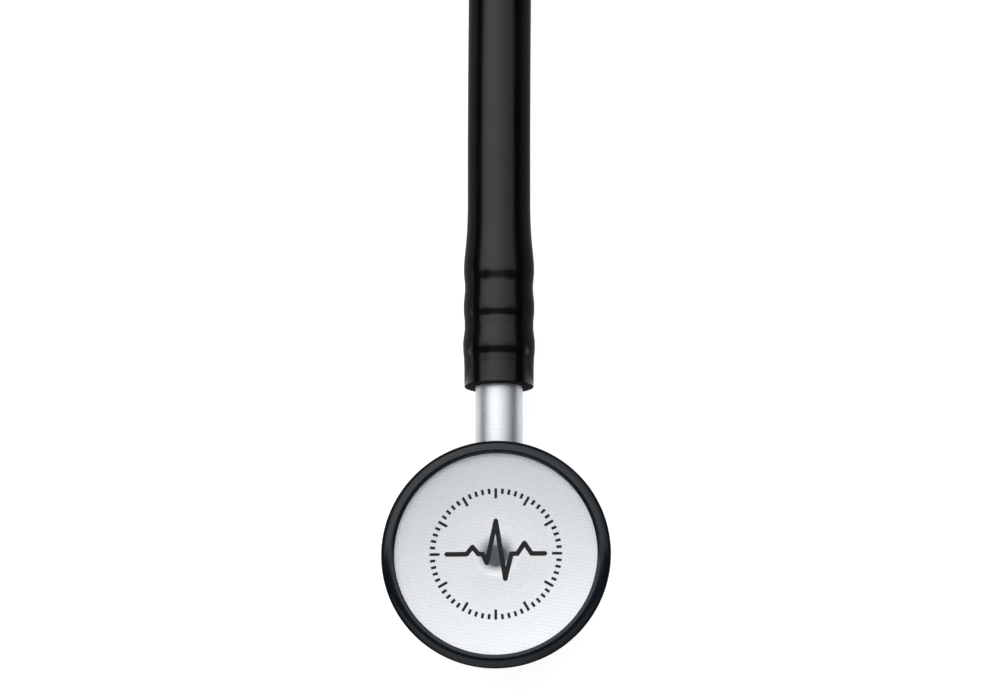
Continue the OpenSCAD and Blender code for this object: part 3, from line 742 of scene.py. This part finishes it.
def armRootFrame(size):
    a = math.radians(size["forkAngle"])
    at = np.array([size["forkHalf"], size["forkLength"], 0.0])
    return at, np.array([-math.cos(a), math.sin(a), 0.0]), np.array([math.sin(a), math.cos(a), 0.0])


def forkSurface(points, lines, radii, spread):
    # how far points lie outside two round limbs that melt into each other, and the way out;
    # the smaller distance is lowered by spread * h * (1 - h), h being the share of the nearer limb
    away, out = [], []
    for line in lines:
        gap = ((points[:, None] - line) ** 2).sum(axis=2)
        near = gap.argmin(axis=1)
        reach = np.sqrt(gap[np.arange(len(points)), near])
        away.append(reach - radii[near])
        out.append((points - line[near]) / np.maximum(reach, 1e-6)[:, None])
    share = np.clip(0.5 + 0.5 * (away[1] - away[0]) / spread, 0, 1)
    direction = share[:, None] * out[0] + (1 - share[:, None]) * out[1]
    return share * away[0] + (1 - share) * away[1] - spread * share * (1 - share), direction


def drawOntoFork(points, lines, radii, size):
    # moves points onto the melted surface, except close to the three end faces
    down = tubingSet["yokeY"] - points[:, 1]
    begin, grow = size["forkRamp"]
    spread = 0.01 + size["forkWeb"] * ease((down - begin) / grow)
    ends = np.array([lines[0][0], lines[0][-1], lines[1][-1]])
    ways = ends - np.array([lines[0][1], lines[0][-2], lines[1][-2]])
    ways /= np.linalg.norm(ways, axis=1, keepdims=True)
    reach = points[:, None] - ends
    around, kept, setIn = size["forkEnd"]
    short = -(reach * ways).sum(axis=2)  # mm before each end face
    short[np.linalg.norm(reach, axis=2) > around] = around
    hold = ease((short.min(axis=1) - kept) / setIn)
    for turn in range(8):
        away, out = forkSurface(points, lines, radii, spread)
        points = points - 0.8 * (hold * away)[:, None] * out
    points[:, 2] = np.maximum(points[:, 2], 0)  # flat where it lies on the table
    return points


def makeFork(size):
    # two round limbs from one root; a voxel remesh gives the mesh, which is then drawn onto the melted surface
    at, inward, ahead = armRootFrame(size)
    t = np.linspace(0, 1, 160)[:, None]
    root, out0, out1 = np.zeros(3), np.array([0.0, size["forkStraight"], 0.0]), at - ahead * size["forkRun"]
    limb = (1 - t) ** 3 * root + 3 * t * (1 - t) ** 2 * out0 + 3 * t ** 2 * (1 - t) * out1 + t ** 3 * at
    tubeR, armR = tubingSet["diameter"] / 2, size["armD"] / 2
    radius = tubeR + (armR - tubeR) * ease(t[:, 0])
    lines = [toRow(limb, side) for side in (1, -1)]
    shape = [sweep(*closeEnds(line, radius * mm), 64)[:2] for line in lines]
    points = np.vstack([p for p, f in shape])
    faces = np.vstack([shape[0][1], shape[1][1] + len(shape[0][0])])
    fork = putMesh("moulded_fork", points, faces, blackPvc)
    for turn in range(2):  # the second mesh is even where the limbs meet
        melt = fork.modifiers.new("melt", "REMESH")
        melt.mode, melt.voxel_size = "VOXEL", size["forkVoxel"] * mm
        soften = fork.modifiers.new("soften", "SMOOTH")
        soften.iterations, soften.factor = size["forkSoften"][turn], 0.5
        depsgraph = bpy.context.evaluated_depsgraph_get()
        melted = bpy.data.meshes.new_from_object(fork.evaluated_get(depsgraph))
        fork.modifiers.clear()
        fork.data = melted
        points = np.empty(3 * len(melted.vertices))
        melted.vertices.foreach_get("co", points)
        points = drawOntoFork(points.reshape(-1, 3) / mm, [line / mm for line in lines], radius, size)
        melted.vertices.foreach_set("co", (points * mm).ravel())
        melted.update()
    melted.name = "moulded_fork"
    melted.shade_smooth()
    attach(fork, "tubing_and_stem")
    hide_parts("yoke")
    print("fork made:", len(melted.polygons), "faces")


def tipProfile(size):  # olive: eased skirt, then a quarter ellipse to the front, then the hole
    low, front, top = -size["tipBase"], size["tipLength"] - size["tipBase"], size["tipD"] / 2
    hole, crown, mouthR = size["tipHole"] / 2, size["tipCrown"], size["tipMouth"]
    tubeR, (room, depth) = size["earD"] / 2, size["tipSocket"]
    base, room = tubeR + size["tipWall"], tubeR + room
    t = np.linspace(0, 1, 24)
    skirt = np.column_stack([base + (top - base) * ease(t), low + (crown - low) * t])
    nose = quarter((hole + mouthR, crown), top - hole - mouthR, front - crown, 0, 90, 31)[1:]
    mouth = arc((hole + mouthR, front - mouthR), mouthR, 90, 180, 6)[1:]
    inner = [(hole, depth), (room, depth), (room, low), (base, low)]
    return np.vstack([skirt, nose, mouth, inner])


def springFace(size, off):
    # one face of a leg of the leaf spring, off mm inwards from its middle: the turn, a straight, then the arm's bend
    at, inward, ahead = armRootFrame(size)
    inset, turnR, turn = size["springInset"] + off, size["springTurn"] - off, 90 - size["forkAngle"]
    start = at + inset * inward
    back = (turnR * math.sin(math.radians(turn)) - start[0]) / ahead[0]
    middle = (0.0, start[1] + back * ahead[1] + turnR * math.cos(math.radians(turn)))
    bendMiddle = at + size["armRoot"] * ahead + size["armBendR"] * inward
    a = np.radians(np.linspace(size["forkAngle"], size["forkAngle"] - size["springBend"], 16))
    leg = bendMiddle[:2] + (size["armBendR"] - inset) * np.column_stack([np.cos(a), -np.sin(a)])
    face = np.vstack([arc(middle, turnR, -90, turn - 90), leg])
    run = np.concatenate([[0], np.cumsum(np.linalg.norm(np.diff(face, axis=0), axis=1))])
    even = np.linspace(0, run[-1], 80)
    return np.column_stack([np.interp(even, run, face[:, k]) for k in (0, 1)])


def makeSpringLeg(size, side, name):
    # a strip with four corners in each cross-section, closed at both ends
    outer, inner = springFace(size, -size["springT"] / 2), springFace(size, size["springT"] / 2)
    half = size["springW"] / 2
    corners = [np.insert(face, 2, z, axis=1) for face, z in
               ((outer, -half), (outer, half), (inner, half), (inner, -half), (outer, -half))]
    strip = np.stack(corners, axis=1)
    ends = np.broadcast_to(strip[[0, -1], :4].mean(axis=1)[:, None], (2, 5, 3))
    strip = np.concatenate([ends[:1], strip, ends[1:]])
    leg = putMesh(name + "_leaf_spring_leg", toRow(strip.reshape(-1, 3), side), gridFaces(len(strip), 5), stemSteel)
    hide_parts("leaf_spring")
    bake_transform(leg)


def makeSide(size, side, name):
    at, inward, ahead = armRootFrame(size)
    arm, armTip, inward, ahead = walk([(size["armRoot"],), (size["armBendR"], size["armBend"], 0),
                                       (size["armEnd"],)], at, inward, ahead)
    armLine = toRow(arm, side)
    run = np.concatenate([[0], np.cumsum(np.linalg.norm(np.diff(arm, axis=0), axis=1))])
    fine = np.linspace(0, 1, 200)
    line = np.column_stack([np.interp(fine, run / run[-1], armLine[:, k]) for k in range(3)])
    lipLength, lipDepth = size["armLip"]
    lip = np.clip(1 - (1 - fine) * run[-1] / lipLength, 0, None)  # a rounded rim at the open end
    radius = size["armD"] / 2 - lipDepth * (1 - np.sqrt(1 - lip ** 2))
    rod, radii = closeEnds(line, radius * mm)
    points, faces, uv = sweep(rod, radii, 48)
    soft = putMesh(name + "_soft_arm", points, faces, blackPvc, uv)
    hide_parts(name + "_arm")
    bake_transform(soft)
    makeSpringLeg(size, side, name)

    ear, earEnd, inward, ahead = walk([(size["insert"] + size["straight"],),
                                       (size["bendR"], size["bend"], size["forward"]), (size["top"],)],
                                      armTip - ahead * size["insert"], inward, ahead)
    rod, radii = closeEnds(toRow(ear, side), size["earD"] / 2 * mm)
    points, faces, uv = sweep(rod, radii, 40)
    tube = putMesh(name + "_ear_tube_metal", points, faces, anodised, uv)
    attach(tube, name + "_headset")
    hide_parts(name + "_ear_tube")

    points, faces, uv = revolve(tipProfile(size), 72)
    up = np.cross(ahead, inward)
    placed = earEnd + points[:, :1] * inward + points[:, 1:2] * up + points[:, 2:] * ahead
    tip = putMesh(name + "_soft_ear_tip", toRow(placed, side), faces, silicone, uv)
    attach(tip, name + "_headset")
    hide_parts(name + "_ear_tip")
    print(name, "side made")


makeFork(headsetSet)
makeSide(headsetSet, 1, "right")
makeSide(headsetSet, -1, "left")


# studio: white table, a soft box behind and one in front, with darkness round the camera between them

studioSet = {
    "tableSize": 8.0,         # m
    "tableZ": -0.0002,        # m, just under the object
    "table": "#bcbcbc",
    "tableGlow": 0.74,        # what the table adds for the camera, so that it is white where it is lit
    "fill": 0.35,             # light from all round
    "walls": ("#101010", 9, 0.02),  # colour, radius and foot of the dark dome in m
    "flagZ": 0.0001,          # m
    "boxHeight": 0.4,         # m
    "boxes": {"rear": (8.2, 66, 2.34), "front": (-10.6, -70, 1.16)},  # degrees from straight up towards +Y, brightness
    "boxCut": (0.1, 0.35, 0.04),  # m: half the near edge's middle, where its cut corners end, how far they draw back
    "boxAcross": [(-0.86, 0.0), (-0.64, 0.5), (-0.49, 0.85), (-0.43, 0.92), (-0.26, 1.1), (-0.14, 1.14), (-0.04, 1.06),
                  (0.05, 0.9), (0.15, 0.74), (0.28, 0.6), (0.47, 0.42), (0.62, 0.3),
                  (0.75, 0.0)],  # brightness from left to right, at metres from the middle
    "flags": {  # grey cards that only gloss sees: brightness and corners in mm, open beside the bare stem
        "tubeLeft": (0.26, [(0, 31), (-3900, 686), (-3900, 3900), (0, 3900)]),
        "tubeRight": (0.2, [(0, 31), (3900, 686), (3900, 3900), (0, 3900)]),
        "rimLeft": (0.16, [(0, 17.5), (-3900, 672.5), (-3900, -250), (0, -250)]),
        "rimRight": (0.16, [(0, 17.5), (3900, 672.5), (3900, -250), (0, -250)]),
    },
}


def eyeRay(tree):  # 1 for what the camera sees, also in gloss and through the sheet
    ray = addNode(tree, "ShaderNodeLightPath").outputs
    seen = addNode(tree, "ShaderNodeMath", {0: ray["Is Camera Ray"], 1: ray["Is Glossy Ray"]}, operation="MAXIMUM")
    return addNode(tree, "ShaderNodeMath", {0: seen.outputs["Value"], 1: ray["Is Transmission Ray"]},
                   operation="MAXIMUM").outputs["Value"]


def card(name, corners, z, material):  # flat sheet of the studio
    sheet = putMesh(name, np.column_stack([corners, np.full(len(corners), z)]), [range(len(corners))], material)
    return sheet


def onlyReflected(thing):  # seen in gloss alone
    thing.visible_camera = thing.visible_diffuse = thing.visible_transmission = thing.visible_shadow = False


def makeStudio(size):
    half = size["tableSize"] / 2
    white, tree = newMaterial("whiteTable")
    paper = addNode(tree, "ShaderNodeBsdfDiffuse", {"Color": linear(size["table"])})
    light = addNode(tree, "ShaderNodeEmission", {"Strength": ranged(tree, eyeRay(tree), 0.0, size["tableGlow"])})
    both = addNode(tree, "ShaderNodeAddShader", {0: paper.outputs["BSDF"], 1: light.outputs["Emission"]})
    addNode(tree, "ShaderNodeOutputMaterial", {"Surface": both.outputs["Shader"]})
    card("table", [(-half, -half), (half, -half), (half, half), (-half, half)], size["tableZ"], white)

    for name, (bright, corners) in size["flags"].items():
        grey, tree = newMaterial(name + "Card")
        glow(tree, {"Strength": bright})
        onlyReflected(card(name, np.array(corners) * mm, size["flagZ"], grey))

    paint, reach, foot = size["walls"]
    dark, tree = newMaterial("darkWalls")
    coat = addNode(tree, "ShaderNodeBsdfDiffuse", {"Color": linear(paint)})
    addNode(tree, "ShaderNodeOutputMaterial", {"Surface": coat.outputs["BSDF"]})
    points, faces, uv = revolve(quarter((0, foot), reach, reach, 0, 90, 12), 48)
    walls = putMesh("walls", points, faces, dark)
    onlyReflected(walls)

    left, right = size["boxAcross"][0][0], size["boxAcross"][-1][0]
    for name, (near, far, bright) in size["boxes"].items():
        cloth, tree = newMaterial(name + "SoftBoxCloth")
        x = addNode(tree, "ShaderNodeSeparateXYZ", {"Vector": objectPlace(tree)}).outputs["X"]
        across = addNode(tree, "ShaderNodeMapRange", {"Value": x, "From Min": left, "From Max": right})
        level = addNode(tree, "ShaderNodeValToRGB", {"Fac": across.outputs["Result"]})
        ramp = level.color_ramp.elements
        while len(ramp) < len(size["boxAcross"]):
            ramp.new(0.5)
        for stop, (at, share) in zip(ramp, size["boxAcross"]):
            stop.position = (at - left) / (right - left)
            stop.color = (share / 2, share / 2, share / 2, 1)  # halved, as a ramp ends at 1
        glow(tree, {"Color": level.outputs["Color"], "Strength": 2 * bright})
        start, end = (size["boxHeight"] * math.tan(math.radians(d)) for d in (near, far))
        middle, outer, back = size["boxCut"]
        side = start + math.copysign(back, end)
        corners = [(left, side), (-outer, side), (-middle, start), (middle, start), (outer, side), (right, side),
                   (right, end), (left, end)]
        box = card(name + "SoftBox", corners, size["boxHeight"], cloth)
        box.visible_camera = box.visible_shadow = False

    world = bpy.data.worlds.new("studio")
    scene.world = world
    world.use_nodes = True
    tree = world.node_tree
    tree.nodes.clear()
    sky = addNode(tree, "ShaderNodeBackground", {"Strength": ranged(tree, eyeRay(tree), size["fill"], 1.0)})
    addNode(tree, "ShaderNodeOutputWorld", {"Surface": sky.outputs["Background"]})
    scene.view_settings.view_transform = "Standard"
    print("studio lit")


makeStudio(studioSet)
